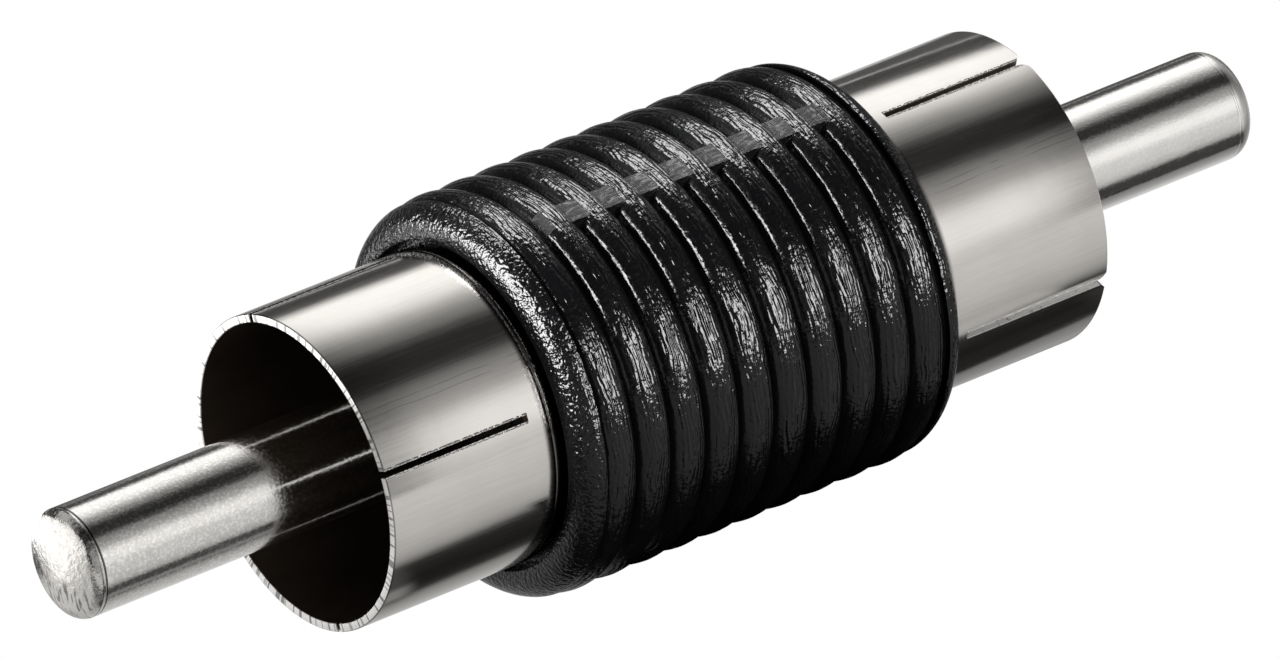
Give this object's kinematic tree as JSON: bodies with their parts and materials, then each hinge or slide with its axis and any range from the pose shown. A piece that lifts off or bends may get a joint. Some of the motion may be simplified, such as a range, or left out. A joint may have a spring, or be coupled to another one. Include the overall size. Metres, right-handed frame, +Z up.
{
  "type": "rca adapter",
  "caption": "Plug-to-plug phono coupler: a ribbed black grip with a slotted nickel shell and a solid centre pin at each end.",
  "frame": {"origin": "middle of the grip's length, on the adapter's axis", "axes": "+X along the axis towards the end with the shorter pin, +Z up as the picture shows the part"},
  "size_m": [0.0409, 0.0118, 0.0118],
  "materials": {
    "soft_plastic": "satin",
    "hard_plastic": "matte",
    "insulator_plastic": "satin",
    "nickel_plate": "polished",
    "tinned_copper": "satin",
    "solder": "satin"
  },
  "bodies": {
    "root": {"grip": "soft_plastic", "inner_mould": "hard_plastic", "shell_left": "nickel_plate", "shell_right": "nickel_plate", "insulator_left": "insulator_plastic", "insulator_right": "insulator_plastic", "pin_left": "nickel_plate", "pin_right": "nickel_plate", "centre_link": "tinned_copper", "earth_link": "tinned_copper", "solder_pin_left": "solder", "solder_pin_right": "solder", "solder_tag_left": "solder", "solder_tag_right": "solder"}
  },
  "joints": []
}
